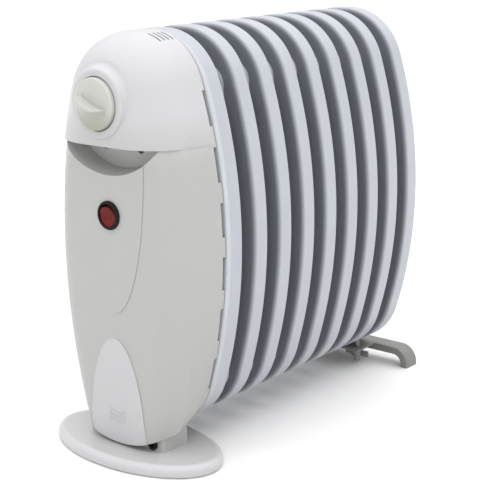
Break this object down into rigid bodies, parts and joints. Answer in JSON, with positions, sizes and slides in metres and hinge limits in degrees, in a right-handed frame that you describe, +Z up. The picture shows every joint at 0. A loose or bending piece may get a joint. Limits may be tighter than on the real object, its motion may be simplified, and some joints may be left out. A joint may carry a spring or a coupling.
{
  "type": "oil filled radiator heater",
  "caption": "Free-standing oil filled radiator heater with pressed steel fins, domed control cover with rotary thermostat knob and round rocker switch, oval front foot and rear foot bar.",
  "frame": {"origin": "on the floor plane, at the centre of the bounding box's base", "axes": "+X across the heater, its plane of symmetry is X = 0 apart from the controls' inner parts; +Y along the row of fins from the control end to the rear end; +Z up"},
  "size_m": [0.148, 0.316, 0.303],
  "materials": {
    "fin_paint": "satin",
    "bar_paint": "satin",
    "galvanised": "matte",
    "zinc": "satin",
    "element_steel": "matte",
    "brass": "satin",
    "gasket": "matte",
    "ceramic": "matte",
    "cover_plastic": "satin",
    "knob_plastic": "satin",
    "foot_plastic": "satin",
    "black_plastic": "satin",
    "red_plastic": "gloss",
    "lead_brown": "satin",
    "lead_blue": "satin",
    "lead_green": "satin"
  },
  "bodies": {
    "heater": {"back_plate": "galvanised", "cable_gland": "black_plastic", "cover_screws": "zinc", "earth_screw": "zinc", "element_gasket": "gasket", "element_pins": "zinc", "element_plug": "zinc", "element_tube": "element_steel", "filler_plug": "zinc", "fin_1_back": "fin_paint", "fin_1_front": "fin_paint", "fin_2_back": "fin_paint", "fin_2_front": "fin_paint", "fin_3_back": "fin_paint", "fin_3_front": "fin_paint", "fin_4_back": "fin_paint", "fin_4_front": "fin_paint", "fin_5_back": "fin_paint", "fin_5_front": "fin_paint", "fin_6_back": "fin_paint", "fin_6_front": "fin_paint", "fin_7_back": "fin_paint", "fin_7_front": "fin_paint", "fin_8_back": "fin_paint", "fin_8_front": "fin_paint", "fin_9_back": "fin_paint", "fin_9_front": "fin_paint", "foot_screws": "zinc", "front_cover": "cover_plastic", "front_foot": "foot_plastic", "lead_cutout": "lead_brown", "lead_earth": "lead_green", "lead_live": "lead_brown", "lead_neutral": "lead_blue", "lead_switch": "lead_brown", "lead_thermostat": "lead_brown", "plate_nuts": "zinc", "plate_studs": "zinc", "rear_bolt": "zinc", "rear_foot_bar": "bar_paint", "switch_body": "black_plastic", "switch_tabs": "brass", "terminal_block": "black_plastic", "thermal_cutout": "ceramic", "thermostat_body": "ceramic", "thermostat_nut": "zinc", "wing_nuts": "zinc"},
    "knob": {"knob": "knob_plastic", "thermostat_shaft": "zinc"},
    "rocker": {"rocker": "red_plastic"}
  },
  "joints": [
    {"name": "knob_turn", "type": "hinge", "parent": "heater", "child": "knob", "pos_m": [0, -0.148, 0.257], "axis": [0, 1, 0], "range_deg": [0, 270]},
    {"name": "rocker_tilt", "type": "hinge", "parent": "heater", "child": "rocker", "pos_m": [0, -0.1335, 0.179], "axis": [-1, 0, 0], "range_deg": [0, 14]}
  ]
}
